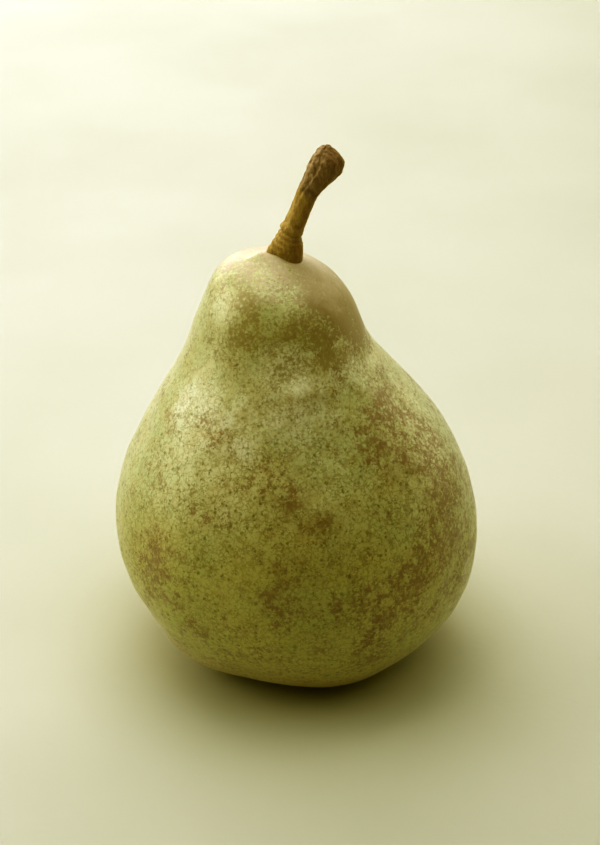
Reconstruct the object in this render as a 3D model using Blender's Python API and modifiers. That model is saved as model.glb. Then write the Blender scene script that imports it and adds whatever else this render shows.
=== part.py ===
"""A ripe pear standing on its base: the fruit, its woody stem and the dried sepals of its calyx.

Metres, +Z up. The origin is on the surface that the pear stands on, under the middle of the fruit.
The dimensions below are in millimetres, and MM turns them into metres where a mesh is made.
An azimuth is in degrees from the front (-Y), positive towards +X.
"""

import math

import bmesh
import bpy
from mathutils import Vector
from mathutils.bvhtree import BVHTree

MM = 0.001

# The fruit's outline as (radius, height), from the crown down its side to the floor of the calyx basin.
FRUIT_OUTLINE = (
    (0.0, 97.4),
    (7.4, 96.2),
    (13.7, 92.4),
    (17.7, 84.0),
    (20.7, 76.0),
    (25.9, 68.0),
    (31.3, 60.0),
    (37.1, 50.0),
    (40.6, 40.0),
    (41.5, 30.0),
    (39.4, 20.0),
    (35.0, 12.0),
    (28.2, 4.6),
    (22.0, 0.4),
    (14.5, -0.9),
    (8.5, 3.0),
    (3.5, 6.0),
    (0.0, 6.4),
)
FRUIT_RINGS = 30
FRUIT_SIDES = 30

# The fruit's core line as (height, x, y): the neck leans to the left and slightly back.
CORE_LINE = (
    (0.0, 1.4, 0.0),
    (30.0, -0.4, 0.0),
    (55.0, -0.9, 0.2),
    (75.0, -3.3, 0.6),
    (97.0, -4.3, 1.2),
)
CROWN_TILT = 6.5  # degrees, down towards +X
CROWN_TILTS_FROM = 82.0
CROWN_TILTS_FULLY = 96.0

LOBES = 5
LOBE_AZIMUTH = 20.0
LOBE_RELIEF = 0.6  # how far a lobe stands out from the mean outline, at the base
LOBE_TOP = 62.0  # height where the lobes have faded out
RESTING_RADIUS = 16.0
VALLEY_LIFT = 3.3  # how far the valleys between the lobes are raised off the ground
VALLEY_NARROWING = 1.5
VALLEY_REACH = 9.0  # inwards and outwards from the resting radius
VALLEY_FADES = (2.0, 12.0)  # heights
BASIN_RADIUS = 5.0  # the calyx basin is round inside this radius

OVALNESS = 0.010
OVAL_AZIMUTH = 35.0

# Local swellings and dents: height, azimuth, reach up and down, reach sideways in degrees, rise.
SWELLINGS = (
    (89.0, 75.0, 6.0, 30.0, 0.5),  # russet lump on the right of the neck
    (79.0, 95.0, 9.0, 36.0, -0.7),  # hollow under that lump
    (69.0, 60.0, 4.0, 26.0, -0.8),  # fold where the neck meets the right shoulder
    (58.0, 75.0, 10.0, 38.0, 1.0),  # right shoulder
    (58.0, -48.0, 10.0, 26.0, 0.5),  # left shoulder
    (17.0, -70.0, 6.0, 30.0, -0.8),  # hollow over the left lobe
    (5.0, -62.0, 5.0, 22.0, 2.9),  # the left lobe, the largest
    (15.0, 88.0, 8.0, 30.0, 1.3),  # lower right flank
    (50.0, 168.0, 16.0, 36.0, -0.6),  # flat place on the back
    (6.0, 165.0, 6.0, 24.0, 1.2),  # the rear lobe
    (71.0, -150.0, 9.0, 30.0, 0.7),  # low swelling behind the neck
)

# The stem's sections from the foot to the knob: centre x, y, z, then its reach left, right and deep.
STEM_SECTIONS = (
    (-1.8, 0.1, 99.2, 4.6, 3.3, 2.9),
    (-1.9, 0.2, 100.9, 3.3, 3.2, 2.8),
    (-1.5, 0.3, 102.3, 2.5, 2.5, 2.5),
    (-1.1, 0.4, 103.6, 2.6, 2.6, 2.6),
    (-0.5, 0.4, 104.8, 2.3, 2.4, 2.3),
    (0.3, 0.5, 106.6, 2.2, 2.2, 2.2),
    (1.1, 0.7, 108.7, 2.2, 2.2, 2.2),
    (2.0, 0.8, 111.0, 2.3, 2.2, 2.2),
    (2.8, 0.9, 112.8, 2.4, 2.3, 2.4),
    (3.9, 1.0, 114.9, 2.5, 3.1, 2.9),
    (4.9, 1.1, 117.1, 2.8, 4.3, 3.3),
    (5.6, 1.2, 119.2, 2.5, 4.9, 3.2),
    (6.1, 1.4, 120.7, 1.9, 3.9, 2.6),
    (6.4, 1.5, 121.6, 1.3, 2.1, 1.7),
    (6.6, 1.5, 122.1, 0.5, 0.9, 0.7),
)
STEM_SIDES = 20
LEVEL_BELOW = 100.0  # the stem's sections are level below this height
SQUARE_ABOVE = 106.0  # and square to its line above this one
FOOT_REACH = (5.4, 2.6, 2.8)  # left, right and deep, where the foot meets the crown
FOOT_PINCH = 0.6  # how much thinner the foot's left tip is than an oval
PINCH_FADES = (97.2, 102.0)  # heights
ROOT_CENTRE = (-1.3, 0.1)
ROOT_RADIUS = 2.0
ROOT_BOTTOM = 92.2  # height of the root's lower end, inside the crown
ROOT_BEVEL = 0.4
SOCKET_CLEARS = 8.0  # how far the socket's cutter stands out of the crown

PIECE_GAP = 0.35  # between the fruit and each piece that grows from it

SEPALS = 5
SEPAL_AZIMUTH = 54.0
SEPAL_ROOT = 2.7  # distance from the core line
SEPAL_LENGTH = 4.6
SEPAL_WIDTH = 2.6
SEPAL_THICKNESS = 0.45
SEPAL_TAPER = 0.88  # how much of its width is gone at the tip
SEPAL_FULLNESS = 1.6  # how long it keeps its width
SEPAL_CURL = 1.3  # how far the tip stands away from the skin
SEPAL_CUPPING = 0.35  # how far its edges stand away from the skin
SEPAL_ROWS = 6
SEPAL_COLUMNS = 4

GROUND_SIDE = 120.0
GROUND_DEPTH = 20.0


def smooth_step(start, end, value):
    """0 at start, 1 at end, with a soft change between them."""
    share = min(1.0, max(0.0, (value - start) / (end - start)))
    return share * share * (3.0 - 2.0 * share)


def bell(offset, reach):
    return math.exp(-((offset / reach) ** 2))


def turned_apart(first, second):
    """The angle between two azimuths, from -180 to 180 degrees."""
    return (first - second + 180.0) % 360.0 - 180.0


def between(points, place, share):
    """The smooth line through the points, a share of the way from points[place] to the next one."""
    last = len(points) - 1
    around = [points[min(last, max(0, place + step))] for step in (-1, 0, 1, 2)]
    return tuple(
        b
        + 0.5 * (c - a) * share
        + 0.5 * (2.0 * a - 5.0 * b + 4.0 * c - d) * share**2
        + 0.5 * (3.0 * b - a - 3.0 * c + d) * share**3
        for a, b, c, d in zip(*around)
    )


def along_outline(share):
    """A point of the fruit's outline: share runs from 0 at the crown to 1 in the calyx basin."""
    ends = list(zip(FRUIT_OUTLINE, FRUIT_OUTLINE[1:]))
    left = share * sum(math.dist(*pair) for pair in ends)
    for place, pair in enumerate(ends):
        length = math.dist(*pair)
        if left <= length:
            return between(FRUIT_OUTLINE, place, left / length)
        left -= length
    return FRUIT_OUTLINE[-1]


def core_at(height):
    """Where the fruit's core line is at this height."""
    height = min(CORE_LINE[-1][0], max(CORE_LINE[0][0], height))
    place = sum(row[0] < height for row in CORE_LINE[1:])
    low, high = CORE_LINE[place][0], CORE_LINE[place + 1][0]
    return between(CORE_LINE, place, (height - low) / (high - low))[1:]


def grown(point):
    """Moves a point of the turned outline, in millimetres, to where the grown fruit has it."""
    radius = math.hypot(point.x, point.y)
    height = point.z
    azimuth = math.degrees(math.atan2(point.x, -point.y))
    outside = smooth_step(BASIN_RADIUS, RESTING_RADIUS, radius)
    lobe = math.cos(math.radians(LOBES * turned_apart(azimuth, LOBE_AZIMUTH)))
    oval = math.cos(math.radians(2.0 * turned_apart(azimuth, OVAL_AZIMUTH)))
    rise = LOBE_RELIEF * lobe * outside * (1.0 - smooth_step(0.0, LOBE_TOP, height))
    rise += OVALNESS * oval * radius
    for at_height, at_azimuth, reach, turn, amount in SWELLINGS:
        sideways = bell(turned_apart(azimuth, at_azimuth), turn)
        rise += amount * bell(height - at_height, reach) * sideways * outside
    valley = (0.5 - 0.5 * lobe) ** VALLEY_NARROWING * bell(radius - RESTING_RADIUS, VALLEY_REACH)
    valley *= 1.0 - smooth_step(*VALLEY_FADES, height)
    tilt = math.tan(math.radians(CROWN_TILT))
    drop = tilt * point.x * smooth_step(CROWN_TILTS_FROM, CROWN_TILTS_FULLY, height)
    away = 1.0 + rise / radius if radius > 0.0 else 1.0
    core_x, core_y = core_at(height)
    return Vector((
        core_x + point.x * away,
        core_y + point.y * away,
        height + VALLEY_LIFT * valley - drop,
    ))


def new_collection(name):
    collection = bpy.data.collections.new(name)
    bpy.context.scene.collection.children.link(collection)
    return collection


def new_object(name, mesh, collection):
    piece = bpy.data.objects.new(name, mesh)
    collection.objects.link(piece)
    return piece


def new_material(name, colour, roughness):
    material = bpy.data.materials.new(name)
    material.use_nodes = True
    shader = material.node_tree.nodes["Principled BSDF"]
    shader.inputs["Base Color"].default_value = (*colour, 1.0)
    shader.inputs["Roughness"].default_value = roughness
    shader.inputs["Metallic"].default_value = 0.0
    return material


def finish_mesh(mesh, material, sharp_angle=50.0):
    """Gives the mesh its material and rounded shading."""
    mesh.materials.clear()
    mesh.materials.append(material)
    mesh.shade_smooth()
    mesh.set_sharp_from_angle(angle=math.radians(sharp_angle))


def evaluated_mesh(piece):
    """A new mesh of the object with its modifiers applied."""
    bpy.context.view_layer.update()
    graph = bpy.context.evaluated_depsgraph_get()
    return bpy.data.meshes.new_from_object(piece.evaluated_get(graph))


def mesh_from(form, name):
    mesh = bpy.data.meshes.new(name)
    form.to_mesh(mesh)
    form.free()
    return mesh


def turned_outline(parts):
    """The fruit's outline turned round the vertical axis, as a mesh."""
    outline = [along_outline(i / FRUIT_RINGS) for i in range(FRUIT_RINGS + 1)]
    profile = bpy.data.meshes.new("fruit_outline")
    points = [(radius * MM, 0.0, height * MM) for radius, height in outline]
    profile.from_pydata(points, [(i, i + 1) for i in range(FRUIT_RINGS)], [])
    turned = new_object("fruit_outline", profile, parts)
    screw = turned.modifiers.new("turn", "SCREW")
    screw.axis = "Z"
    screw.steps = FRUIT_SIDES
    screw.render_steps = FRUIT_SIDES
    screw.use_merge_vertices = True
    screw.merge_threshold = 0.00001
    mesh = evaluated_mesh(turned)
    bpy.data.objects.remove(turned)
    return mesh


def make_fruit(parts, material):
    """The turned outline, grown into the fruit's uneven form and softened."""
    mesh = turned_outline(parts)
    for vertex in mesh.vertices:
        vertex.co = grown(vertex.co / MM) * MM
    finish_mesh(mesh, material)
    fruit = new_object("fruit", mesh, parts)
    soft_form = fruit.modifiers.new("soft_form", "SUBSURF")
    soft_form.levels = 1
    soft_form.render_levels = 1
    return fruit


def make_socket_cutter():
    """Cuts the hole in the crown that holds the stem's root."""
    depth = STEM_SECTIONS[0][2] - ROOT_BOTTOM + SOCKET_CLEARS
    bpy.ops.mesh.primitive_cylinder_add(
        vertices=STEM_SIDES,
        radius=(ROOT_RADIUS + PIECE_GAP) * MM,
        depth=depth * MM,
    )
    cutter = bpy.context.object
    cutter.name = "stem_socket"
    middle = ROOT_BOTTOM - PIECE_GAP + depth / 2.0
    cutter.location = Vector((*ROOT_CENTRE, middle)) * MM
    return cutter


def make_ground_cutter():
    """Flattens the lobes where the pear rests on them, at z = 0."""
    bpy.ops.mesh.primitive_cube_add(size=1.0)
    cutter = bpy.context.object
    cutter.name = "resting_ground"
    cutter.dimensions = Vector((GROUND_SIDE, GROUND_SIDE, GROUND_DEPTH)) * MM
    cutter.location = (0.0, 0.0, -GROUND_DEPTH / 2.0 * MM)
    bpy.ops.object.transform_apply(location=False, rotation=False, scale=True)
    return cutter


def cut(piece, cutter, cutters):
    """Takes the cutter's shape away from the piece, and puts the cutter with the others."""
    for collection in list(cutter.users_collection):
        collection.objects.unlink(cutter)
    cutters.objects.link(cutter)
    cutter.hide_render = True
    cutter.display_type = "WIRE"
    modifier = piece.modifiers.new(cutter.name, "BOOLEAN")
    modifier.operation = "DIFFERENCE"
    modifier.solver = "EXACT"
    modifier.object = cutter


def skin_height(skin, x, y, from_below):
    """The height in millimetres where a plumb line at (x, y) first meets the fruit's skin."""
    start = Vector((x, y, -GROUND_DEPTH if from_below else 2.0 * FRUIT_OUTLINE[0][1])) * MM
    way = Vector((0.0, 0.0, 1.0 if from_below else -1.0))
    return skin.ray_cast(start, way)[0].z / MM


def ring(centre, axis, left, right, deep, pinch=0.0):
    """The points of one of the stem's sections, square to the axis."""
    side = Vector((axis.z, 0.0, -axis.x)).normalized()
    front = axis.cross(side)
    points = []
    for i in range(STEM_SIDES):
        turn = 2.0 * math.pi * i / STEM_SIDES
        sideways = math.cos(turn)
        reach = right if sideways > 0.0 else left
        thick = deep * (1.0 - pinch * max(0.0, -sideways))
        points.append(centre + side * (reach * sideways) + front * (thick * math.sin(turn)))
    return points


def stem_rings(skin):
    """All the stem's sections: the root, the foot's underside a gap above the crown, and upwards."""
    up = Vector((0.0, 0.0, 1.0))
    bevelled = ROOT_RADIUS - ROOT_BEVEL
    tip = Vector((*ROOT_CENTRE, ROOT_BOTTOM))
    root = [
        ring(tip, up, bevelled, bevelled, bevelled),
        ring(tip + up * ROOT_BEVEL, up, ROOT_RADIUS, ROOT_RADIUS, ROOT_RADIUS),
    ]
    foot = [
        ring(tip, up, ROOT_RADIUS, ROOT_RADIUS, ROOT_RADIUS),
        ring(tip, up, *FOOT_REACH, FOOT_PINCH),
    ]
    for point in foot[0] + foot[1]:
        point.z = skin_height(skin, point.x, point.y, from_below=False) + PIECE_GAP
    shaft = []
    centres = [Vector(row[:3]) for row in STEM_SECTIONS]
    last = len(centres) - 1
    for i, row in enumerate(STEM_SECTIONS):
        line = (centres[min(i + 1, last)] - centres[max(i - 1, 0)]).normalized()
        axis = up.lerp(line, smooth_step(LEVEL_BELOW, SQUARE_ABOVE, row[2])).normalized()
        pinch = FOOT_PINCH * (1.0 - smooth_step(*PINCH_FADES, row[2]))
        shaft.append(ring(centres[i], axis, *row[3:], pinch))
    return root + foot + shaft


def make_stem(parts, material, skin):
    """A loft from the root in the crown, over the flared foot, to the knob that held the twig."""
    form = bmesh.new()
    rings = [[form.verts.new(point * MM) for point in section] for section in stem_rings(skin)]
    for lower, upper in zip(rings, rings[1:]):
        for i in range(STEM_SIDES):
            j = (i + 1) % STEM_SIDES
            form.faces.new((lower[i], lower[j], upper[j], upper[i]))
    form.faces.new(rings[0])
    form.faces.new(rings[-1])
    bmesh.ops.recalc_face_normals(form, faces=form.faces)
    mesh = mesh_from(form, "stem")
    finish_mesh(mesh, material)
    return new_object("stem", mesh, parts)


def make_sepal(parts, material, skin, number):
    """One sepal: a pointed leaf that lies along the basin from its root, its tip curling away."""
    azimuth = math.radians(SEPAL_AZIMUTH + number * 360.0 / SEPALS)
    outward = Vector((math.sin(azimuth), -math.cos(azimuth), 0.0))
    across = Vector((-outward.y, outward.x, 0.0))
    core = Vector((*core_at(0.0), 0.0))
    form = bmesh.new()
    bmesh.ops.create_grid(form, x_segments=SEPAL_ROWS, y_segments=SEPAL_COLUMNS, size=1.0)
    for vertex in form.verts:
        share = 0.5 + 0.5 * vertex.co.x
        aside = vertex.co.y
        half_width = 0.5 * SEPAL_WIDTH * (1.0 - SEPAL_TAPER * share**SEPAL_FULLNESS)
        place = core + outward * (SEPAL_ROOT + SEPAL_LENGTH * share) + across * (aside * half_width)
        stands_away = SEPAL_CURL * share**2 + SEPAL_CUPPING * aside**2 * (1.0 - share)
        place.z = skin_height(skin, place.x, place.y, from_below=True) - PIECE_GAP - stands_away
        vertex.co = place * MM
    form.normal_update()
    mesh = mesh_from(form, "sepal")
    finish_mesh(mesh, material)
    sepal = new_object(f"sepal_{number + 1}", mesh, parts)
    shell = sepal.modifiers.new("thickness", "SOLIDIFY")
    shell.thickness = SEPAL_THICKNESS * MM
    shell.offset = -1.0 if mesh.polygons[0].normal.z > 0.0 else 1.0
    return sepal


def main():
    for piece in list(bpy.data.objects):
        bpy.data.objects.remove(piece)
    parts = new_collection("pear")
    cutters = new_collection("cutters")
    skin_material = new_material("fruit_skin", (0.33, 0.32, 0.10), 0.42)
    bark_material = new_material("stem_bark", (0.16, 0.08, 0.03), 0.75)
    sepal_material = new_material("dried_sepal", (0.09, 0.05, 0.03), 0.85)
    fruit = make_fruit(parts, skin_material)
    bpy.context.view_layer.update()
    skin = BVHTree.FromObject(fruit, bpy.context.evaluated_depsgraph_get())
    cut(fruit, make_socket_cutter(), cutters)
    cut(fruit, make_ground_cutter(), cutters)
    make_stem(parts, bark_material, skin)
    for number in range(SEPALS):
        make_sepal(parts, sepal_material, skin, number)


main()
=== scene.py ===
import math

import bmesh
import bpy
import numpy as np
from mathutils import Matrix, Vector
from mathutils.bvhtree import BVHTree


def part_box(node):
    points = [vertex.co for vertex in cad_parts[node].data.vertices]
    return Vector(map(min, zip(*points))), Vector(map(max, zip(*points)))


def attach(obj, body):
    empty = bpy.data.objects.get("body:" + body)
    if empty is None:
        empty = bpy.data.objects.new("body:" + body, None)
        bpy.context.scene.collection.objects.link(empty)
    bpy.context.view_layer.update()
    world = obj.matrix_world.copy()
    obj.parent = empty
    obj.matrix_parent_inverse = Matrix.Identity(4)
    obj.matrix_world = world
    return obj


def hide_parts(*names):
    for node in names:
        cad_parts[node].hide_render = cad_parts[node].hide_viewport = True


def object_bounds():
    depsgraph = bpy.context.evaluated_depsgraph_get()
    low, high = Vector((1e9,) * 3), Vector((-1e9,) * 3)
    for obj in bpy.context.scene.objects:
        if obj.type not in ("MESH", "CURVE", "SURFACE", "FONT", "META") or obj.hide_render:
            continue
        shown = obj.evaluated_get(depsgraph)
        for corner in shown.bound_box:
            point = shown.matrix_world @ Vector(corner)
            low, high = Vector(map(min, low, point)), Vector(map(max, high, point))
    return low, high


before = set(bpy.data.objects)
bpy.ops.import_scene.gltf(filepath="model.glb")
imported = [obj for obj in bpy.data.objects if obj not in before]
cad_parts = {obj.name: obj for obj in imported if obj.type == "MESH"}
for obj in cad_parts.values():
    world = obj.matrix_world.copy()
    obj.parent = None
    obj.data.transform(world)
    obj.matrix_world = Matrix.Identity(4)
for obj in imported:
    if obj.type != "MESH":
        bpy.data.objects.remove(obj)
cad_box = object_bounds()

# A ripe pear with its stem and, underneath, the dried sepals of its flower, on a pale floor.
# Lengths are in metres. On the pear they are written as so many * MM, or the name or comment says mm.
# An azimuth is in degrees from the front, -Y, and positive towards +X.

MM = 0.001

# The fruit's grid: rings of points round its axis, closer together at both poles.
SIDES = 240
RAY_HEIGHT = 40 * MM
SPACING_BODY = 0.75 * MM
SPACING_POLE = 0.35 * MM
POLE_REACH = 12 * MM
FACET_SMOOTHING = 1.9 * MM
SOCKET_COVER = 3.8 * MM
RAY_LIMIT = 20 * MM
FINE_RINGS = 1200

# Rises and dips of the skin that the CAD leaves out: brow, brow, hollow above it, and fold.
# Each is (azimuth, half width in degrees, height mm, half height mm, rise mm).
SKIN_RELIEF = (
    (2, 26, 75.0, 2.2, 0.30),
    (0, 38, 71.0, 5.5, 0.45),
    (5, 40, 83.0, 4.5, -0.45),
    (72, 22, 76.5, 1.6, -0.35),
)
CALYX_X = 1.4 * MM
UNDERSIDE_MM = 15
STEM_FOOT_ABOVE = 80 * MM
ROOT_LENGTH = 3 * MM
ROOT_ABOVE_CROWN = 0.4 * MM
CONTACT_SINK = 0.12 * MM

# Patches of the skin, each (azimuth, height mm, half width in degrees, half height mm, strength).
RUSSET_PATCHES = (
    (53, 66, 26, 9, 0.5),
    (60, 53, 14, 8, 0.5),
    (54, 45, 16, 7, 0.45),
    (75, 52, 14, 12, 0.35),
    (42, 35, 22, 8, 0.45),
    (22, 35, 9, 5, 0.5),
    (66, 36, 14, 9, 0.45),
    (-30, 51, 6, 4, 0.25),
    (-52, 40, 9, 6, 0.4),
    (-45, 33, 12, 6, 0.5),
    (-57, 65, 20, 4, 0.25),
    (-45, 82, 24, 6, 0.2),
    (32, 82, 20, 4, 0.4),
    (-6, 62, 16, 5, 0.3),
    (130, 60, 24, 8, 0.7),
    (180, 45, 20, 9, 0.6),
    (-140, 58, 22, 7, 0.55),
    (-110, 35, 16, 7, 0.5),
    (150, 30, 18, 7, 0.6),
    (100, 44, 14, 7, 0.7),
    (10, 24, 150, 14, 0.25),
)
SMUDGES = (
    (-2, 55.5, 9, 4, 0.55),
    (7, 53, 9, 3, 0.4),
    (-3, 38, 8, 4, 0.6),
    (4, 45, 12, 4, 0.3),
    (45, 58.5, 7, 3, 0.6),
    (40, 63, 8, 2.5, 0.5),
    (55, 50, 7, 4, 0.5),
    (42, 36, 10, 2.5, 0.4),
    (-30, 51, 2.5, 2.5, 0.3),
    (-52, 41, 4, 5, 0.3),
    (10, 74, 22, 2.5, 0.35),
    (62, 70, 16, 3, 0.4),
    (140, 66, 14, 4, 0.5),
    (-150, 40, 12, 5, 0.4),
    (175, 58, 10, 4, 0.5),
)
OLIVE_PATCHES = (
    (-46, 92, 13, 3.6, 0.75),
    (-38, 87, 11, 3.6, 0.7),
    (-44, 83.5, 9, 2.6, 0.6),
    (8, 87, 30, 5.0, 0.75),
    (30, 81, 24, 4.0, 0.6),
    (-12, 80, 20, 4.0, 0.4),
)
# Painted highlight: pale patches where the light from above and the left brightens the brow, the
# shoulders and the crown. Same columns as above.
PAINTED_HIGHLIGHT_PATCHES = (
    (-2, 71.5, 28, 5.5, 0.98),
    (33, 78.5, 19, 4.0, 0.95),
    (-30, 66, 13, 6, 0.9),
    (-58, 69, 16, 5, 0.6),
    (-8, 80, 26, 4.2, 0.95),
    (-25, 54, 8, 5, 0.4),
    (52, 66, 18, 3.5, 0.15),
    (-70, 90, 20, 5, 0.2),
    (10, 94.5, 14, 2.5, 0.6),
)
# The lower edge of the russet cap, as (azimuth, height mm).
CAP_EDGE = (
    (-180, 86),
    (-140, 91),
    (-100, 95.5),
    (-60, 95),
    (-30, 94),
    (0, 92),
    (20, 88.5),
    (40, 84),
    (60, 80),
    (80, 77.5),
    (100, 78),
    (130, 82),
    (180, 86),
)

# Grooves and swellings of the stem's collar, each (mm up the stem, half width mm, height mm).
COLLAR_STEPS = ((10.9, 0.35, -0.3), (11.9, 0.5, 0.22), (13.0, 0.4, -0.14), (9.0, 1.0, 0.1))
RING_SPACING_MM = 1.15

# The small dots and the web are moved this far, so that their cells aren't those of the pores and net.
DOT_SHIFT = (13 * MM, 7 * MM, 19 * MM)

# Colours of the skin. A pair is the two ends that a noise mixes.
# Upper greens paler and greyer, lower greens yellower: partly the pear's own colour, partly painted
# light from above and painted shade low down.
UPPER_GREENS_AND_PAINTED_LIGHT = ((0.66, 0.64, 0.41), (0.555, 0.59, 0.36))
LOWER_GREENS_AND_PAINTED_SHADE = ((0.565, 0.525, 0.22), (0.485, 0.50, 0.19))
# The colour of the painted highlight patches.
PAINTED_HIGHLIGHT_GREEN = (0.79, 0.775, 0.62)
MOTTLE_TAN = (0.50, 0.43, 0.20)
FINE_TAN = (0.41, 0.37, 0.17)
BASE_TAN = (0.58, 0.40, 0.15)
THREAD_OLIVE = (0.27, 0.235, 0.08)
RUSSETS = ((0.28, 0.21, 0.095), (0.255, 0.135, 0.066))
RUSSET_TINT = (0.42, 0.30, 0.13)
PORE_BROWN = (0.17, 0.135, 0.045)
SMUDGE_BROWN = (0.27, 0.175, 0.075)
CAP_BROWNS = ((0.35, 0.26, 0.14), (0.54, 0.45, 0.35))
CAP_GRAIN = (0.38, 0.295, 0.18)
NECK_OLIVE = (0.37, 0.29, 0.14)
CALYX_BROWNS = ((0.13, 0.08, 0.035), (0.27, 0.18, 0.075))

# Colours of the stem and the sepals.
YOUNG_BARKS = ((0.56, 0.41, 0.20), (0.42, 0.28, 0.14))
OLD_BARKS = ((0.29, 0.185, 0.135), (0.52, 0.38, 0.28))
BARK_BLOTCH = (0.12, 0.07, 0.04)
# Red brown on the stem's right side: partly its own colour, partly painted shade on the side away from
# the light.
BARK_RED_AND_SHADE_SIDE = (0.22, 0.105, 0.07)
BARK_GRAIN = (0.15, 0.09, 0.045)
SEPAL_BROWNS = ((0.055, 0.032, 0.016), (0.16, 0.095, 0.045))

# The stage, in metres. Soft boxes are (name, place, size, power in W), and point at LIGHT_AIM.
LIGHTS = (
    ("back_left", (-0.40, 0.60, 0.34), (0.5, 0.5), 1.65),
    ("back", (-0.02, 0.65, 0.34), (0.6, 0.5), 2.15),
    ("left", (-0.77, 0.16, 0.27), (0.6, 0.45), 1.58),
    ("left_front", (-0.60, -0.05, 0.35), (0.5, 0.4), 0.77),
    ("left_top", (-0.35, -0.10, 0.50), (0.5, 0.5), 0.60),
    ("front_top", (0.10, -0.15, 0.55), (0.5, 0.5), 1.27),
    ("right", (0.65, 0.46, 0.25), (0.85, 0.5), 1.38),
    ("right_top", (0.55, 0.20, 0.40), (0.4, 0.4), 0.22),
    ("top", (-0.05, 0.10, 0.45), (0.35, 0.35), 0.8),
)
LIGHT_AIM = (0, 0.02, 0.04)
FLOORS = ((0.65, 0.645, 0.59), (0.62, 0.62, 0.565))
FLOOR_HALF = 3.0
FADE_MIDDLE = (0.0, 0.32, 0.0)
FADE_SCALE = (0.8, 1.0, 1.0)
SKY_LIGHT = (1.0, 0.98, 0.88)
BAND_STRENGTH = 0.67
DIM_STRENGTH = 0.05
BACKDROP = (1.0, 0.99, 0.93)
BACKDROP_LOW = 0.86
BACKDROP_HIGH = 0.92
TONE_POWERS = (1.5, 1.55, 2.2)
TONE_LEVELS = (0.03, 0.08, 0.16, 0.28, 0.42, 0.58, 0.75, 0.9)

CAMERA_ELEVATION = 29.5
CAMERA_DISTANCE = 0.470
CAMERA_LENS = 90
CAMERA_SENSOR = 36
AIM_FROM_MIDDLE = Vector((0.9, 0, -4.25)) * MM


def smooth_step(value, low, high):
    share = np.clip((value - low) / (high - low), 0, 1)
    return share * share * (3 - 2 * share)


def bell(offset, reach):
    """A smooth hump, 1 in the middle and about a third at reach."""
    return np.exp(-((offset / reach) ** 2))


def waves(points, size, seed, count=28):
    """A smooth random field of about unit height, with swells about size metres long."""
    rng = np.random.default_rng(seed)
    directions = rng.normal(size=(count, 3))
    directions /= np.linalg.norm(directions, axis=1)[:, None]
    lengths = size * rng.uniform(0.75, 1.4, count)
    phases = rng.uniform(0, 2 * math.pi, count)
    angles = points @ (directions * (2 * math.pi / lengths)[:, None]).T + phases
    return math.sqrt(2 / count) * np.cos(angles).sum(-1)


def turn_from(angles, centre):
    """Degrees from centre, the short way round."""
    return (angles - centre + 180) % 360 - 180


def azimuth_of(offsets):
    """Degrees round +Z from the front, -Y, towards +X."""
    return np.degrees(np.arctan2(offsets[..., 0], -offsets[..., 1]))


def tree_of(node):
    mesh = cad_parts[node].data
    return BVHTree.FromPolygons([v.co for v in mesh.vertices], [p.vertices for p in mesh.polygons])


def points_of(mesh):
    return np.array([v.co for v in mesh.vertices])


def move_along_normals(mesh, points, lift):
    """Moves a mesh's points out along its normals, by lift in mm."""
    normals = np.array([n.vector for n in mesh.vertex_normals])
    moved = points + normals * (lift * MM)[:, None]
    mesh.vertices.foreach_set("co", moved.astype(np.float32).ravel())
    mesh.update()


def add_object(name, data):
    thing = bpy.data.objects.new(name, data)
    bpy.context.scene.collection.objects.link(thing)
    return thing


def store(mesh, name, values):
    layer = mesh.attributes.new(name, "FLOAT", "POINT")
    layer.data.foreach_set("value", np.asarray(values, np.float32))


def dress(piece, material):
    piece.data.materials.clear()
    piece.data.materials.append(material)


# ---------------------------------------------------------------- fruit

def fruit_distances(tree, centre, directions):
    """How far the CAD skin is from the centre, along each direction."""
    shape = directions.shape[:-1]
    found = np.empty(int(np.prod(shape)))
    for index, direction in enumerate(directions.reshape(-1, 3)):
        found[index] = tree.ray_cast(centre, Vector(direction))[3]
    return found.reshape(shape)


def polar_directions(axis, angles, sides):
    """Directions at each angle from the axis, in even steps round it from the front."""
    front = Vector((0, -1, 0))
    side = (front - axis * front.dot(axis)).normalized()
    other = axis.cross(side)
    turns = np.arange(sides) * 2 * math.pi / sides
    across = np.outer(np.cos(turns), side) + np.outer(np.sin(turns), other)
    return np.cos(angles)[:, None, None] * np.array(axis) + np.sin(angles)[:, None, None] * across


def cover_socket(distances, angles):
    """Rings over the stem's socket continue the skin round it."""
    widths = distances.mean(1) * np.sin(angles)
    first = int(np.argmax((widths > SOCKET_COVER) & (angles < 1)))
    edge = distances[first]
    for ring in range(first):
        share = math.sin(angles[ring]) / math.sin(angles[first])
        distances[ring] = edge.mean() + (edge - edge.mean()) * share
    return distances


def ring_angles(tree, centre, axis):
    """Angles from the axis whose rings are evenly far apart on the skin, and closer at both poles."""
    fine = np.linspace(0.0005, math.pi - 0.0005, FINE_RINGS)
    distances = fruit_distances(tree, centre, polar_directions(axis, fine, 12))
    radius = cover_socket(distances, fine).mean(1)
    steps = np.hypot(np.diff(radius), radius[1:] * np.diff(fine))
    along = np.concatenate([[0], np.cumsum(steps)])
    near_pole = bell(np.minimum(along, along[-1] - along), POLE_REACH)
    spacing = SPACING_BODY + (SPACING_POLE - SPACING_BODY) * near_pole
    count = np.concatenate([[0], np.cumsum(steps / spacing[1:])])
    rings = int(round(count[-1]))
    wanted = (np.arange(rings) + 0.5) * count[-1] / rings
    return np.interp(wanted, count, fine)


def smooth_round(distances, widths):
    """Smooths each ring by a Gaussian of one width in metres."""
    sides = distances.shape[1]
    waves_round = np.fft.rfftfreq(sides, 1 / sides)
    spectrum = np.fft.rfft(distances, axis=1)
    damping = np.exp(-0.5 * (waves_round[None, :] * FACET_SMOOTHING / widths[:, None]) ** 2)
    return np.fft.irfft(spectrum * damping, n=sides, axis=1)


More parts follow.
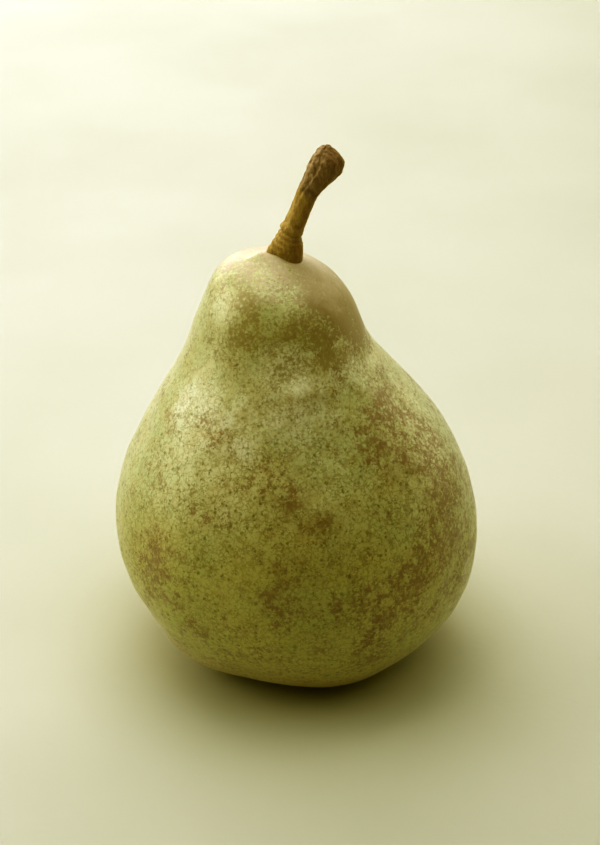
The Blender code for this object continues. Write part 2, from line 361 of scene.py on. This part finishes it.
def smooth_rings(distances, angles):
    """Rounds off the CAD facets, by the same width round each ring and from ring to ring."""
    sides = distances.shape[1]
    distances = smooth_round(distances, distances.mean(1) * np.sin(angles))
    points_r = distances.mean(1) * np.sin(angles)
    points_z = distances.mean(1) * np.cos(angles)
    along = np.concatenate([[0], np.cumsum(np.hypot(np.diff(points_r), np.diff(points_z)))])
    left = along[-1] - along
    steps = np.gradient(along)

    def weights(apart):
        return np.exp(-0.5 * (apart / FACET_SMOOTHING) ** 2) * steps[None, :]

    # Near a pole, a ring's far side counts too.
    own = weights(along[:, None] - along[None, :])
    over_top = weights(along[:, None] + along[None, :] + steps[0])
    over_low = weights(left[:, None] + left[None, :] + steps[-1])
    opposite = np.roll(distances, sides // 2, axis=1)
    total = own.sum(1) + over_top.sum(1) + over_low.sum(1)
    return (own @ distances + (over_top + over_low) @ opposite) / total[:, None]


def grid_normals(points):
    """Outward normals of a closed grid of rings."""
    round_way = np.roll(points, -1, axis=1) - np.roll(points, 1, axis=1)
    down = np.gradient(points, axis=0)
    normals = np.cross(down, round_way)
    return normals / np.linalg.norm(normals, axis=-1)[..., None]


def foot_radius(stem_tree, root, turns):
    """How far the stem's foot reaches from the root's axis, for each azimuth."""
    found = []
    for turn in np.radians(turns):
        direction = Vector((math.sin(turn), -math.cos(turn), 0))
        hit = stem_tree.ray_cast(root + direction * RAY_LIMIT, -direction)
        found.append(RAY_LIMIT - hit[3] if hit[0] else 2 * MM)
    return np.array(found)


def rise_at_stem(points, stem_tree, root):
    """The fleshy lip that the skin makes round the stem's foot, highest at the front left."""
    offset = points[..., :2] - np.array(root[:2])
    reach = np.hypot(offset[..., 0], offset[..., 1])
    turn = azimuth_of(offset)
    turns = np.arange(-180, 181, 6)
    foot = np.interp(turn, turns, foot_radius(stem_tree, root, turns))
    beyond = (reach - foot) / MM
    height = 0.95 + 0.9 * bell(turn_from(turn, -62), 48)
    return height * np.where(beyond > 0, bell(beyond, 2.8), bell(beyond, 0.9)) * MM


def from_calyx(points):
    """How far points are from the middle of the dried flower, in mm, and their turn in radians."""
    across = points[..., 0] - CALYX_X
    along = points[..., 1]
    return np.hypot(across, along) / MM, np.arctan2(along, across)


def calyx_creases(points):
    """Creases that run out from the dried flower in the hollow underneath, in mm."""
    reach, turn = from_calyx(points)
    crease = 0.10 * np.cos(10 * turn + 1.2 * np.sin(3 * turn)) + 0.05 * np.cos(23 * turn)
    ring = smooth_step(reach, 3.5, 6.0) * smooth_step(-reach, -9, -6)
    return crease * ring * (points[..., 2] / MM < UNDERSIDE_MM)


def skin_lift(points):
    """How far the skin stands out from the CAD body, in mm."""
    turn = azimuth_of(points)
    height = points[..., 2] / MM
    lift = 0.09 * waves(points, 17 * MM, 3) + 0.05 * waves(points, 8 * MM, 5)
    for centre, wide, level, tall, rise in SKIN_RELIEF:
        lift = lift + rise * bell(turn_from(turn, centre), wide) * bell(height - level, tall)
    return lift * smooth_step(height, 1.0, 8.0) + calyx_creases(points)


def overlaid(patches, turn, height):
    """Soft oval patches laid over each other, as one share from 0 to 1."""
    cover = np.zeros(turn.shape)
    for centre, level, wide, tall, strength in patches:
        near = (turn_from(turn, centre) / wide) ** 2 + ((height - level) / tall) ** 2
        cover = 1 - (1 - cover) * (1 - strength * np.exp(-near))
    return cover


def cap_mask(points, turn, height):
    """Above a half where the smooth russet cap is. Its edge is softer away from the right."""
    edges = np.array(CAP_EDGE, float)
    softness = 6 + 6 * smooth_step(np.abs(turn_from(turn, 75)), 25, 60)
    mask = (height - np.interp(turn, edges[:, 0], edges[:, 1])) / softness + 0.5
    return mask + 0.12 * waves(points, 9 * MM, 14)


def skin_masks(points):
    """How much of each kind of skin each point has, from 0 to 1."""
    turn = azimuth_of(points)
    height = points[..., 2] / MM
    patch = overlaid(RUSSET_PATCHES, turn, height)
    patch = patch + 0.10 * waves(points, 12 * MM, 11) + 0.06 * waves(points, 6 * MM, 12)
    reach = from_calyx(points)[0]
    masks = {
        "patch": patch,
        "smudge": overlaid(SMUDGES, turn, height) * (1 + 0.35 * waves(points, 5 * MM, 16)),
        "cap": cap_mask(points, turn, height),
        "olive": overlaid(OLIVE_PATCHES, turn, height) * (1 + 0.25 * waves(points, 5 * MM, 17)),
        # Where the painted highlight lies.
        "painted_highlight": overlaid(PAINTED_HIGHLIGHT_PATCHES, turn, height) * (1 + 0.2 * waves(points, 7 * MM, 18)),
        "rim": smooth_step(-height, -20, -3) + 0.08 * waves(points, 10 * MM, 15),
        "calyx": smooth_step(-reach, -11, -6) * (height < UNDERSIDE_MM),
    }
    return {name: np.clip(mask, 0, 1) for name, mask in masks.items()}


def grid_mesh(name, rings, top, low):
    """A closed mesh of rings with one point at each pole."""
    count, sides = rings.shape[:2]
    points = np.concatenate([rings.reshape(-1, 3), [top], [low]])
    index = np.arange(count * sides).reshape(count, sides)
    after = np.roll(index, -1, axis=1)
    faces = []
    for ring in range(count - 1):
        faces += np.stack([index[ring], index[ring + 1], after[ring + 1], after[ring]], 1).tolist()
    faces += [[count * sides, index[0, s], after[0, s]] for s in range(sides)]
    faces += [[count * sides + 1, after[-1, s], index[-1, s]] for s in range(sides)]
    mesh = bpy.data.meshes.new(name)
    mesh.from_pydata(points.tolist(), [], faces)
    mesh.shade_smooth()
    mesh.validate()
    return mesh


def basin_centre(tree):
    """The middle of the hollow under the fruit: the mean of the sepals' places, on the skin."""
    middles = [sum(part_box(f"sepal_{n}"), Vector()) / 2 for n in range(1, 6)]
    middle = sum(middles, Vector()) / 5
    hit = tree.ray_cast(Vector((middle.x, middle.y, -10 * MM)), Vector((0, 0, 1)))
    return hit[0]


def stem_root(crown):
    """Where the stem leaves the crown. Its root below that stands upright in the socket."""
    stem_low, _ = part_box("stem")
    points = points_of(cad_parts["stem"].data)
    root_points = points[points[:, 2] < stem_low.z + ROOT_LENGTH]
    return Vector((*root_points[:, :2].mean(0), crown + ROOT_ABOVE_CROWN))


def fruit_grid(tree, root):
    """Rings of points on the CAD skin, with its facets and the socket smoothed away."""
    basin = basin_centre(tree)
    axis = (root - basin).normalized()
    centre = basin + axis * ((RAY_HEIGHT - basin.z) / axis.z)
    angles = ring_angles(tree, centre, axis)
    directions = polar_directions(axis, angles, SIDES)
    distances = cover_socket(fruit_distances(tree, centre, directions), angles)
    distances = smooth_rings(distances, angles)
    return np.array(centre) + distances[..., None] * directions


def make_fruit(material):
    fruit_low, fruit_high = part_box("fruit")
    root = stem_root(fruit_high.z)
    points = fruit_grid(tree_of("fruit"), root)
    points = points + skin_lift(points)[..., None] * MM * grid_normals(points)
    lip = rise_at_stem(points, tree_of("stem"), root)
    points[..., 2] += np.where(points[..., 2] > STEM_FOOT_ABOVE, lip, 0)
    # The smoothed lobes are pressed back onto the ground.
    low_share = 1 - smooth_step(points[..., 2], 0.3 * MM, 2.5 * MM)
    points[..., 2] = np.maximum(points[..., 2] - CONTACT_SINK * low_share, fruit_low.z)
    mesh = grid_mesh("pear_fruit", points, points[0].mean(0), points[-1].mean(0))
    for name, values in skin_masks(points_of(mesh)).items():
        store(mesh, name, values)
    fruit = add_object("pear_fruit", mesh)
    dress(fruit, material)
    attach(fruit, "root")
    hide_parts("fruit")


# ---------------------------------------------------------------- stem and sepals

def quad_copy(node, name, levels):
    """A finer copy of a CAD node, as quads with round sides."""
    mesh = bmesh.new()
    mesh.from_mesh(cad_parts[node].data)
    bmesh.ops.remove_doubles(mesh, verts=mesh.verts, dist=0.002 * MM)
    bmesh.ops.join_triangles(
        mesh, faces=mesh.faces, angle_face_threshold=0.9, angle_shape_threshold=1.2
    )
    data = bpy.data.meshes.new(name)
    mesh.to_mesh(data)
    mesh.free()
    thing = add_object(name, data)
    rounding = thing.modifiers.new("rounding", "SUBSURF")
    rounding.levels = levels
    rounding.render_levels = levels
    bpy.context.view_layer.update()
    graph = bpy.context.evaluated_depsgraph_get()
    finer = bpy.data.meshes.new_from_object(thing.evaluated_get(graph))
    thing.modifiers.clear()
    thing.data = finer
    finer.name = name
    finer.shade_smooth()
    bpy.data.meshes.remove(data)
    return thing


def centre_line(points, low, high, count=40):
    """Middles of level slices through a mesh's points."""
    half = (high - low) / count
    middles = []
    for height in np.linspace(low, high, count):
        near = points[np.abs(points[:, 2] - height) < half]
        box_middle = (near.min(0) + near.max(0)) / 2
        middles.append([box_middle[0], box_middle[1], height])
    middles = np.array(middles)
    kernel = np.array([1, 2, 3, 2, 1]) / 9
    padded = np.pad(middles[:, :2], ((2, 2), (0, 0)), mode="edge")
    for column in range(2):
        middles[:, column] = np.convolve(padded[:, column], kernel, "valid")
    return middles


def stem_places(points):
    """How far up the stem each point is, in mm, and its azimuth round the stem's middle."""
    level = points[:, 2]
    line = centre_line(points, level.min() + 0.2 * MM, level.max() - 0.6 * MM)
    tangents = np.gradient(line, axis=0)
    tangents /= np.linalg.norm(tangents, axis=1)[:, None]
    lengths = np.concatenate([[0], np.cumsum(np.linalg.norm(np.diff(line, axis=0), axis=1))])
    at = [np.interp(level, line[:, 2], line[:, k]) for k in range(2)]
    middle = np.stack([*at, np.clip(level, line[0, 2], line[-1, 2])], 1)
    tangent = np.stack([np.interp(level, line[:, 2], tangents[:, k]) for k in range(3)], 1)
    offset = points - middle
    rise = (offset * tangent).sum(1)
    along = np.interp(level, line[:, 2], lengths) + rise
    outward = offset - rise[:, None] * tangent
    return along / MM, azimuth_of(outward)


def bark_lift(points, along, turn):
    """How far the bark stands out in mm: shaft ridges, collar rings and grooves, and a seam."""
    height = points[:, 2] / MM
    radians = np.radians(turn)
    ridges = np.cos(5 * radians + 0.16 * along) * 0.5 + np.cos(11 * radians - 0.1 * along + 1.0) * 0.3
    ridges = ridges * (0.05 + 0.10 * smooth_step(height, 108, 116))
    rings = np.cos(2 * math.pi * along / RING_SPACING_MM + 0.6 * np.cos(radians)) * 0.10
    rings = rings * bell(height - 101.5, 3.0) * (0.4 + 0.6 * bell(turn_from(turn, -80), 70))
    rough = waves(points, 1.6 * MM, 21) * 0.6 + waves(points, 0.8 * MM, 22) * 0.4
    rough = rough * (0.03 + 0.07 * smooth_step(height, 112, 118))
    left = 0.35 + 0.65 * bell(turn_from(turn, -70), 80)
    collar = sum(amount * left * bell(along - level, reach) for level, reach, amount in COLLAR_STEPS)
    seam_turn = -38 + 1.2 * (height - 112)
    seam = -0.22 * bell(turn_from(turn, seam_turn), 9) * smooth_step(height, 109, 113)
    return (ridges + rings + rough + collar + seam) * smooth_step(height, 97.0, 98.5)


def make_stem(material):
    stem = quad_copy("stem", "pear_stem", 3)
    mesh = stem.data
    points = points_of(mesh)
    along, turn = stem_places(points)
    move_along_normals(mesh, points, bark_lift(points, along, turn))
    # Old bark reaches lower on the right: partly the stem's own colour, partly painted shade.
    aged_and_shaded = points[:, 2] / MM + 2.4 * np.sin(np.radians(turn))
    store(mesh, "age", smooth_step(aged_and_shaded, 108.5, 114.5))
    store(mesh, "shade_side", 0.5 + 0.5 * np.cos(np.radians(turn_from(turn, 75))))
    dress(stem, material)
    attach(stem, "root")
    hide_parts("stem")


def make_sepal(number, material):
    sepal = quad_copy(f"sepal_{number}", f"pear_sepal_{number}", 2)
    points = points_of(sepal.data)
    coarse = 0.05 * waves(points, 1.2 * MM, 30 + number)
    fine = 0.03 * waves(points, 0.6 * MM, 40 + number)
    move_along_normals(sepal.data, points, coarse + fine)
    dress(sepal, material)
    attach(sepal, "root")
    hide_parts(f"sepal_{number}")


# ---------------------------------------------------------------- materials

class Shader:
    """Short calls that add shader nodes to one node tree. Most return an output socket."""

    def __init__(self, name):
        self.material = bpy.data.materials.new(name)
        self.material.use_nodes = True
        self.start(self.material.node_tree)
        self.position = self.add("ShaderNodeTexCoord").outputs["Object"]

    @classmethod
    def of_tree(cls, tree):
        """The same calls on a node tree that isn't a material's."""
        shader = cls.__new__(cls)
        shader.start(tree)
        return shader

    def start(self, tree):
        self.tree = tree
        tree.nodes.clear()

    def add(self, kind, inputs=None, **settings):
        node = self.tree.nodes.new(kind)
        for name, value in settings.items():
            setattr(node, name, value)
        for name, value in (inputs or {}).items():
            self.put(node.inputs[name], value)
        return node

    def put(self, socket, value):
        if isinstance(value, bpy.types.NodeSocket):
            self.tree.links.new(value, socket)
        elif isinstance(value, tuple) and len(value) == 3 and socket.type == "RGBA":
            socket.default_value = (*value, 1)
        else:
            socket.default_value = value

    def math(self, operation, first, second):
        return self.add("ShaderNodeMath", {0: first, 1: second}, operation=operation).outputs[0]

    def times(self, first, second):
        return self.math("MULTIPLY", first, second)

    def plus(self, first, second):
        return self.math("ADD", first, second)

    def swing(self, noise, amount):
        """A noise of 0 to 1, as about -amount / 2 to amount / 2."""
        return self.times(self.math("SUBTRACT", noise, 0.5), amount)

    def vector(self, operation, first, second):
        node = self.add("ShaderNodeVectorMath", {0: first, 1: second}, operation=operation)
        return node.outputs[0]

    def scaled(self, vector, amount):
        node = self.add("ShaderNodeVectorMath", {0: vector, "Scale": amount}, operation="SCALE")
        return node.outputs[0]

    def length(self, vector):
        node = self.add("ShaderNodeVectorMath", {0: vector}, operation="LENGTH")
        return node.outputs["Value"]

    def ramp(self, value, low, high, to_low=0.0, to_high=1.0):
        """A smooth step from low to high, as to_low to to_high."""
        node = self.add(
            "ShaderNodeMapRange",
            {"Value": value, "From Min": low, "From Max": high, "To Min": to_low, "To Max": to_high},
            interpolation_type="SMOOTHSTEP",
        )
        return node.outputs["Result"]

    def mix(self, factor, first, second):
        node = self.add("ShaderNodeMix", data_type="RGBA", blend_type="MIX")
        self.put(node.inputs[0], factor)
        self.put(node.inputs[6], first)
        self.put(node.inputs[7], second)
        return node.outputs[2]

    def noise(self, scale, detail=2.0, roughness=0.5, position=None, colour=False, distortion=0.0):
        inputs = {
            "Vector": position or self.position,
            "Scale": scale,
            "Detail": detail,
            "Roughness": roughness,
            "Distortion": distortion,
        }
        return self.add("ShaderNodeTexNoise", inputs).outputs["Color" if colour else "Fac"]

    def cells(self, scale, position, feature="F1"):
        inputs = {"Vector": position, "Scale": scale}
        return self.add("ShaderNodeTexVoronoi", inputs, feature=feature)

    def shaken(self, scale, amount):
        """The position, moved by up to about amount by a noise."""
        centred = self.vector("SUBTRACT", self.noise(scale, colour=True), (0.5, 0.5, 0.5))
        return self.vector("ADD", self.position, self.scaled(centred, 2 * amount))

    def mask(self, name):
        return self.add("ShaderNodeAttribute", attribute_name=name).outputs["Fac"]

    def camera_ray(self):
        return self.add("ShaderNodeLightPath").outputs["Is Camera Ray"]

    def bump(self, height, strength, distance, normal=None):
        inputs = {"Height": height, "Strength": strength, "Distance": distance}
        if normal:
            inputs["Normal"] = normal
        return self.add("ShaderNodeBump", inputs).outputs["Normal"]

    def surface(self, colour, roughness, normal, **settings):
        inputs = {"Base Color": colour, "Roughness": roughness, "Normal": normal}
        inputs.update({name.replace("_", " "): value for name, value in settings.items()})
        return self.add("ShaderNodeBsdfPrincipled", inputs).outputs[0]

    def either(self, factor, first, second):
        return self.add("ShaderNodeMixShader", {0: factor, 1: first, 2: second}).outputs[0]

    def show(self, shader, kind="ShaderNodeOutputMaterial"):
        self.add(kind, {"Surface": shader})


def dots(s, scale, position, small, large, amount, growth):
    """Spots at scattered points, which grow and merge where amount is high."""
    cell = s.cells(scale, position)
    pick = s.add("ShaderNodeSeparateColor", {0: cell.outputs["Color"]}).outputs[0]
    size = s.plus(s.ramp(pick, 0.0, 1.0, small, large), s.times(amount, growth))
    return s.ramp(cell.outputs["Distance"], s.times(size, 0.35), s.times(size, 1.35), 1.0, 0.0)


def threads(s, scale, position, amount):
    """A net of threads round cells of clear skin, wider and less broken where amount is high."""
    away = s.cells(scale, position, "DISTANCE_TO_EDGE").outputs["Distance"]
    width = s.ramp(amount, -0.1, 0.9, 0.13, 0.30)
    thread = s.ramp(away, 0.0, width, 1.0, 0.0)
    broken = s.ramp(s.noise(620, 3, 0.6), 0.36, 0.60, 0.15, 1.0)
    whole = s.math("MAXIMUM", broken, s.ramp(amount, 0.4, 1.0))
    return s.times(thread, s.times(whole, s.ramp(amount, -0.1, 0.6, 0.35, 1.0)))


def clear_skin(s, level, broad, mottle, fine):
    """Grey green above and olive yellow below, partly own colour and partly painted light and shade,
    with painted highlight patches and tan clouds.
    """
    share = s.ramp(broad, 0.35, 0.65)
    lower = s.mix(share, *LOWER_GREENS_AND_PAINTED_SHADE)
    upper = s.mix(share, *UPPER_GREENS_AND_PAINTED_LIGHT)
    # Paler and greyer above, yellower below: partly the pear's own colour, partly painted light from
    # above and painted shade low down.
    ground = s.mix(s.ramp(level, 30 * MM, 58 * MM), lower, upper)
    # Painted highlight: pale green where the light falls brightest.
    ground = s.mix(s.times(s.mask("painted_highlight"), 0.9), ground, PAINTED_HIGHLIGHT_GREEN)
    ground = s.mix(s.ramp(mottle, 0.42, 0.68, 0.0, 0.4), ground, MOTTLE_TAN)
    ground = s.mix(s.ramp(fine, 0.3, 0.75, 0.0, 0.2), ground, FINE_TAN)
    rim = s.times(s.mask("rim"), s.ramp(mottle, 0.3, 0.6, 0.3, 0.85))
    return s.mix(rim, ground, BASE_TAN)


def speckled_skin(s, ground, level, mottle):
    """Adds olive threads, russet, pores and smudges. Returns the colour and where the spots are."""
    patch = s.mask("patch")
    smudge = s.times(s.mask("smudge"), s.ramp(mottle, 0.3, 0.65, 0.6, 1.1))
    drift = s.swing(s.noise(190, 3, 0.6), 1.1)
    middle = s.swing(s.noise(420, 3, 0.6), s.ramp(patch, 0.1, 0.5, 1.2, 2.5))
    amount = s.plus(s.plus(patch, drift), s.plus(middle, s.times(smudge, 0.7)))
    shaken = s.shaken(1300, 0.5 * MM)
    moved = s.vector("ADD", shaken, DOT_SHIFT)

    # Russet is the most of a net of threads, small dots and blots. All thicken where amount is high.
    net = threads(s, 650, shaken, amount)
    small_dots = dots(s, 1650, moved, 0.10, 0.40, amount, 0.12)
    edge = s.math("SUBTRACT", 0.592, s.times(amount, 0.15))
    cloud = s.noise(1020, 4, 0.62, position=shaken, distortion=0.2)
    blots = s.ramp(cloud, edge, s.plus(edge, 0.09))
    russet = s.math("MAXIMUM", s.times(net, 0.8), s.times(small_dots, 0.85))
    russet = s.math("MAXIMUM", russet, s.times(blots, 0.85))
    pores = dots(s, 720, shaken, 0.12, 0.30, amount, 0.06)
    web = s.times(threads(s, 820, moved, 0.2), s.ramp(level, 55 * MM, 85 * MM, 1.0, 0.45))

    ground = s.mix(s.ramp(amount, 0.1, 1.0, 0.0, 0.15), ground, RUSSET_TINT)
    ground = s.mix(web, ground, THREAD_OLIVE)
    russet_colour = s.mix(s.ramp(amount, 0.0, 0.8), *RUSSETS)
    depth = s.ramp(amount, -0.2, 0.6, 0.50, 1.0)
    colour = s.mix(s.times(russet, depth), ground, russet_colour)
    colour = s.mix(s.times(pores, s.ramp(level, 55 * MM, 80 * MM, 0.72, 0.42)), colour, PORE_BROWN)
    colour = s.mix(s.times(smudge, 0.55), colour, SMUDGE_BROWN)
    return colour, s.math("MAXIMUM", russet, pores)


def capped_skin(s, colour, height, mottle, fine):
    """Adds the smooth cap, the neck's olive patches and the calyx. Returns the colour and the cap."""
    # Both the cap and the olive patches break up into flecks along their edges.
    ragged = s.plus(s.noise(240, 5, 0.65), s.times(s.noise(1250, 4, 0.65), 1.9))
    ragged = s.math("SUBTRACT", ragged, 1.45)
    cap = s.ramp(s.plus(s.mask("cap"), s.times(ragged, 1.35)), 0.30, 0.80)
    olive = s.ramp(s.plus(s.mask("olive"), s.times(ragged, 1.6)), 0.20, 0.90, 0.0, 0.85)
    high = s.plus(height, s.swing(mottle, 12 * MM))
    cap_colour = s.mix(s.ramp(high, 87 * MM, 96 * MM), *CAP_BROWNS)
    cap_colour = s.mix(s.ramp(fine, 0.35, 0.65, 0.0, 0.35), cap_colour, CAP_GRAIN)
    colour = s.mix(olive, colour, NECK_OLIVE)
    colour = s.mix(cap, colour, cap_colour)
    eye = s.mix(s.ramp(ragged, -0.2, 0.2), *CALYX_BROWNS)
    return s.mix(s.mask("calyx"), colour, eye), cap


def make_skin():
    s = Shader("pear_skin")
    fine = s.noise(2600, 3, 0.6)
    broad = s.noise(48, 3, 0.5)
    mottle = s.noise(330, 4, 0.6)
    height = s.add("ShaderNodeSeparateXYZ", {0: s.position}).outputs["Z"]
    level = s.plus(height, s.swing(broad, 20 * MM))
    ground = clear_skin(s, level, broad, mottle, fine)
    colour, spots = speckled_skin(s, ground, level, mottle)
    colour, cap = capped_skin(s, colour, height, mottle, fine)
    roughness = s.ramp(cap, 0.0, 1.0, s.ramp(spots, 0.0, 1.0, 0.34, 0.46), 0.58)
    grain = s.plus(s.times(s.noise(900, 3, 0.5), 0.6), s.times(spots, 0.35))
    normal = s.bump(grain, 0.30, 0.20 * MM)
    normal = s.bump(s.noise(260, 2, 0.5), 0.45, 0.35 * MM, normal)
    skin = s.surface(
        colour,
        roughness,
        normal,
        Subsurface_Weight=0.06,
        Subsurface_Radius=(1.0, 0.75, 0.25),
        Subsurface_Scale=1.5 * MM,
        Specular_IOR_Level=1.0,
        Coat_Weight=0.38,
        Coat_Roughness=0.36,
        Sheen_Weight=0.25,
        Sheen_Roughness=0.4,
    )
    s.show(skin)
    return s.material


def make_bark():
    """Yellow brown young bark at the foot, dark red brown old bark at the knob. The right side, away
    from the light, is darker red brown, partly the bark's own colour and partly painted shade.
    """
    s = Shader("stem_bark_look")
    mapping = {"Vector": s.position, "Scale": (1.0, 1.0, 0.3)}
    stretched = s.add("ShaderNodeMapping", mapping).outputs[0]
    streaks = s.noise(1500, 4, 0.6, position=stretched)
    blotch = s.noise(420, 4, 0.6)
    young = s.mix(s.ramp(streaks, 0.35, 0.65), *YOUNG_BARKS)
    old = s.mix(s.ramp(streaks, 0.35, 0.7), *OLD_BARKS)
    old = s.mix(s.ramp(blotch, 0.5, 0.7, 0.0, 0.6), old, BARK_BLOTCH)
    # Old bark, which starts lower on the right: partly the stem's own colour, partly painted shade.
    age = s.plus(s.mask("age"), s.swing(blotch, 0.8))
    colour = s.mix(s.ramp(age, 0.3, 0.7), young, old)
    # The side away from the light is darker red brown: partly the bark's own colour, partly painted
    # shade.
    side = s.times(s.ramp(s.mask("shade_side"), 0.5, 0.95), 0.5)
    colour = s.mix(side, colour, BARK_RED_AND_SHADE_SIDE)
    colour = s.mix(s.ramp(s.noise(3200, 3, 0.6), 0.45, 0.7, 0.0, 0.3), colour, BARK_GRAIN)
    height = s.plus(streaks, s.times(s.noise(2600, 3, 0.6), 0.6))
    roughness = s.ramp(streaks, 0.3, 0.7, 0.42, 0.65)
    s.show(s.surface(colour, roughness, s.bump(height, 0.6, 0.3 * MM)))
    return s.material


def make_dry():
    """Dry brown fibres, for the sepals."""
    s = Shader("dried_sepal_look")
    streaks = s.noise(1400, 4, 0.6)
    colour = s.mix(s.ramp(streaks, 0.35, 0.65), *SEPAL_BROWNS)
    roughness = s.ramp(streaks, 0.3, 0.7, 0.65, 0.9)
    s.show(s.surface(colour, roughness, s.bump(streaks, 0.6, 0.3 * MM)))
    return s.material


# ---------------------------------------------------------------- stage

def make_floor_look():
    """Pale and matt. Far from the pear, the camera sees it fade into the plain backdrop."""
    s = Shader("floor_look")
    tone = s.noise(9, 3, 0.5)
    colour = s.mix(s.ramp(tone, 0.3, 0.7), *FLOORS)
    normal = s.bump(s.noise(500, 3, 0.6), 0.15, 0.2 * MM)
    lit = s.surface(colour, s.ramp(tone, 0.3, 0.7, 0.75, 0.85), normal)
    plain = s.add("ShaderNodeEmission", {"Color": BACKDROP, "Strength": BACKDROP_LOW}).outputs[0]
    offset = s.vector("SUBTRACT", s.position, FADE_MIDDLE)
    away = s.length(s.vector("MULTIPLY", offset, FADE_SCALE))
    far = s.times(s.camera_ray(), s.ramp(away, 0.45, 0.62))
    s.show(s.either(far, lit, plain))
    return s.material


def make_floor():
    mesh = bpy.data.meshes.new("floor")
    half = FLOOR_HALF
    corners = [(-half, -half, 0), (half, -half, 0), (half, half, 0), (-half, half, 0)]
    mesh.from_pydata(corners, [], [(0, 1, 2, 3)])
    floor = add_object("floor", mesh)
    dress(floor, make_floor_look())


def make_light(name, place, size, power):
    """A white soft box that the camera doesn't see."""
    data = bpy.data.lights.new(name, "AREA")
    data.shape = "RECTANGLE"
    data.size, data.size_y = size
    data.energy = power
    lamp = add_object(name, data)
    lamp.visible_camera = False
    lamp.location = place
    way = Vector(LIGHT_AIM) - Vector(place)
    lamp.rotation_euler = way.to_track_quat("-Z", "Y").to_euler()


def make_world():
    """Dim, with a bright band above the horizon at the back and sides. The camera sees it plain."""
    world = bpy.data.worlds.new("studio")
    bpy.context.scene.world = world
    world.use_nodes = True
    s = Shader.of_tree(world.node_tree)
    place = s.add("ShaderNodeTexCoord").outputs["Generated"]
    parts = s.add("ShaderNodeSeparateXYZ", {0: place})
    behind = s.ramp(parts.outputs["Y"], -0.6, 0.25, 0.05, 1.0)
    band = s.ramp(parts.outputs["Z"], 0.10, 0.30, 1.0, 0.10)
    strength = s.plus(s.times(s.times(behind, band), BAND_STRENGTH), DIM_STRENGTH)
    backdrop = s.ramp(parts.outputs["Z"], 0.0, 0.7, BACKDROP_LOW, BACKDROP_HIGH)
    light = s.add("ShaderNodeBackground", {"Color": SKY_LIGHT, "Strength": strength}).outputs[0]
    plain = s.add("ShaderNodeBackground", {"Color": BACKDROP, "Strength": backdrop}).outputs[0]
    s.show(s.either(s.camera_ray(), light, plain), "ShaderNodeOutputWorld")


def set_tone():
    """A print's tones: deep shadows with little blue in them, and pale highlights."""
    view = bpy.context.scene.view_settings
    view.view_transform = "Standard"
    view.use_curve_mapping = True
    mapping = view.curve_mapping
    for curve, power in zip(mapping.curves, TONE_POWERS):
        for level in TONE_LEVELS:
            curve.points.new(level, level**power)
    mapping.update()


def make_camera():
    low, high = cad_box
    aim = (Vector(low) + Vector(high)) / 2 + AIM_FROM_MIDDLE
    elevation = math.radians(CAMERA_ELEVATION)
    data = bpy.data.cameras.new("camera")
    data.lens = CAMERA_LENS
    data.sensor_width = CAMERA_SENSOR
    camera = add_object("camera", data)
    back = Vector((0, -math.cos(elevation), math.sin(elevation)))
    camera.location = aim + back * CAMERA_DISTANCE
    camera.rotation_euler = (math.pi / 2 - elevation, 0, 0)
    bpy.context.scene.camera = camera


def main():
    make_camera()
    make_floor()
    make_world()
    for name, place, size, power in LIGHTS:
        make_light(name, place, size, power)
    make_fruit(make_skin())
    make_stem(make_bark())
    dry = make_dry()
    for number in range(1, 6):
        make_sepal(number, dry)
    set_tone()


main()
